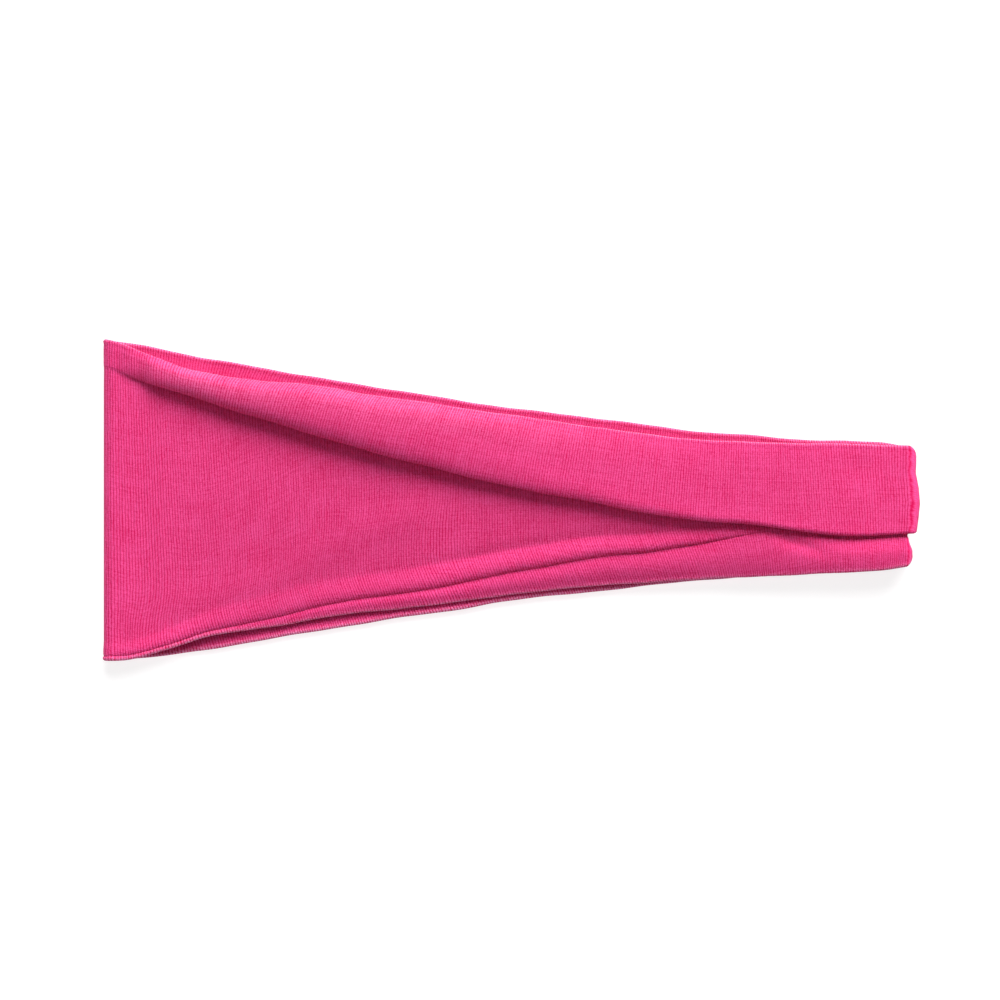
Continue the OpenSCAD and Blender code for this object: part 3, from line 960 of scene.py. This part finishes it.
def groove_stitches():
    """Short stitches, each dipping into the groove at both ends."""
    paths = []
    for y in np.arange(SEAM_LOW, SEAM_HIGH - STITCH / 2, STITCH):
        if NOTCH[0] < y + STITCH / 2 < NOTCH[1]:
            continue
        s = np.linspace(0, 1, 9)
        x = TURN_X + GROOVE_X - 0.25 * (2 * s - 1) ** 4
        z = SEAM_Z + 0.12 * (s - .5)
        paths.append(np.c_[x, y + s * STITCH * STITCH_SHARE, z])
    return paths


def end_heights(y, k):
    """Heights of the lining's surface near y at a raw end: the first station (0) or the last (-1)."""
    surface = grid[k] - cloth.normals[k] * face[k][:, None] * squeezes[k]
    return surface[np.abs(surface[:, 1] - y) < 0.7, 2]


def overlock_loops():
    """Loops from the upper lining over the raw edges to the lower one, and the chain that links them."""
    x_end = TURN_X - SEAM_ALLOWANCE
    edge = x_end - THREAD_R - 0.05
    paths = []
    for y in np.arange(SEAM_LOW, SEAM_HIGH, STITCH):
        if NOTCH[0] < y < NOTCH[1]:
            continue
        high = end_heights(y, 0).max() + THREAD_R
        low = end_heights(y, -1).min() - THREAD_R
        corners = np.array([
            (x_end + LOOP_REACH, y, high), (x_end + .4, y + .1, high + .02), (edge, y + .2, high - .25),
            (edge - .05, y + .35, SEAM_Z), (edge, y + .5, low + .25), (x_end + .4, y + .6, low - .02),
            (x_end + LOOP_REACH, y + .8, low),
        ])
        s = np.linspace(0, len(corners) - 1, 25)
        paths.append(np.stack([np.interp(s, range(len(corners)), corners[:, k]) for k in range(3)], axis=1))
    y = np.linspace(SEAM_LOW, SEAM_HIGH, 60)
    swing = 2 * math.pi * y / STITCH
    paths.append(np.c_[x_end - 2.2 * THREAD_R + 0.1 * np.sin(swing), y, SEAM_Z + .1 * np.cos(swing)])
    return paths


seam_thread = tube_mesh("back_seam_stitches", groove_stitches(), THREAD_R, thread_pink)
overlock = tube_mesh("back_overlock_thread", overlock_loops(), OVERLOCK_R, thread_pink)

for piece, node, slot in (
    (outer, "outer_panel", "outer_jersey"),
    (lining, "lining_panel", "lining_jersey"),
    (upper_thread, "upper_edge_seam", "seam_thread"),
    (lower_thread, "lower_edge_seam", "seam_thread"),
    (seam_thread, "back_seam", "seam_thread"),
    (overlock, "back_overlock", "seam_thread"),
):
    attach(piece, "root")
    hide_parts(node)


# ---------------------------------------------------------------- floor, lights, camera
WHITE = (1, 1, 1, 1)
FLOOR_GREY = (0.33, 0.33, 0.33, 1)
FLOOR_GLOW = 0.8
FLOOR_HALF = 1500
# The floor touches the welts of the lowest ply, which lie a little below the CAD model's base
FLOOR_Z = -0.3
# The light from all round changes between these heights, as sines of the elevation
GLOW_LOW = 0.1
GLOW_HIGH = 0.3
# Camera: millimetres of lens and sensor, metres of the picture's width and of the place it looks down on
LENS = 100
SENSOR = 36
PICTURE_WIDTH = 0.2956
PICTURE_X = -0.00296
FOCUS_Z = 0.004


def make_floor():
    """Plain pale light table."""
    n = Nodes("floor_white")
    n.shader.inputs["Base Color"].default_value = FLOOR_GREY
    n.shader.inputs["Emission Color"].default_value = WHITE
    n.shader.inputs["Emission Strength"].default_value = FLOOR_GLOW
    n.shader.inputs["Roughness"].default_value = 0.8
    n.shader.inputs["Specular IOR Level"].default_value = 0.1
    corners = [(0, 0), (1, 0), (1, 1), (0, 1)]
    points = [(FLOOR_HALF * (2 * x - 1), FLOOR_HALF * (2 * y - 1), 0) for x, y in corners]
    floor = make_object("floor", points, [[0, 1, 2, 3]], corners, n.material)
    floor.location.z = FLOOR_Z * MM


def area_light(name, azimuth, elevation, distance, size, power):
    """Round softbox aimed at the object, from an azimuth off +Y towards +X and an elevation, in degrees."""
    light = bpy.data.lights.new(name, "AREA")
    light.shape = "DISK"
    light.size = size
    light.energy = power
    obj = bpy.data.objects.new(name, light)
    a = math.radians(elevation)
    b = math.radians(azimuth)
    level = distance * math.cos(a)
    obj.location = (level * math.sin(b), level * math.cos(b), distance * math.sin(a))
    obj.rotation_euler = (a - math.pi / 2, 0, -b)
    bpy.context.scene.collection.objects.link(obj)


def make_world(horizon, above):
    """Studio light from all round: bright near the horizon and dimmer above it."""
    world = bpy.data.worlds.new("studio")
    bpy.context.scene.world = world
    world.use_nodes = True
    tree = world.node_tree
    place = tree.nodes.new("ShaderNodeTexCoord")
    parts = tree.nodes.new("ShaderNodeSeparateXYZ")
    height = tree.nodes.new("ShaderNodeMath")
    height.operation = "ABSOLUTE"
    fade = tree.nodes.new("ShaderNodeMapRange")
    for socket, number in zip(fade.inputs[1:5], (GLOW_LOW, GLOW_HIGH, horizon, above)):
        socket.default_value = number
    background = tree.nodes["Background"]
    background.inputs["Color"].default_value = WHITE
    tree.links.new(place.outputs["Generated"], parts.inputs[0])
    tree.links.new(parts.outputs[2], height.inputs[0])
    tree.links.new(height.outputs[0], fade.inputs[0])
    tree.links.new(fade.outputs[0], background.inputs["Strength"])


def make_camera():
    """Camera straight above the band, as in the photograph."""
    camera = bpy.data.cameras.new("camera")
    camera.lens = LENS
    camera.sensor_width = SENSOR
    distance = PICTURE_WIDTH * LENS / SENSOR
    obj = bpy.data.objects.new("camera", camera)
    obj.location = (PICTURE_X, 0, distance + FOCUS_Z)
    bpy.context.scene.collection.objects.link(obj)
    bpy.context.scene.camera = obj


make_floor()
make_world(1.0, 0.07)
area_light("key", 14, 42, 2.4, 1.9, 96.0)
area_light("overhead", 0, 88, 2.4, 1.6, 8.5)
make_camera()
bpy.context.scene.view_settings.view_transform = "Standard"
bpy.context.scene.view_settings.look = "None"
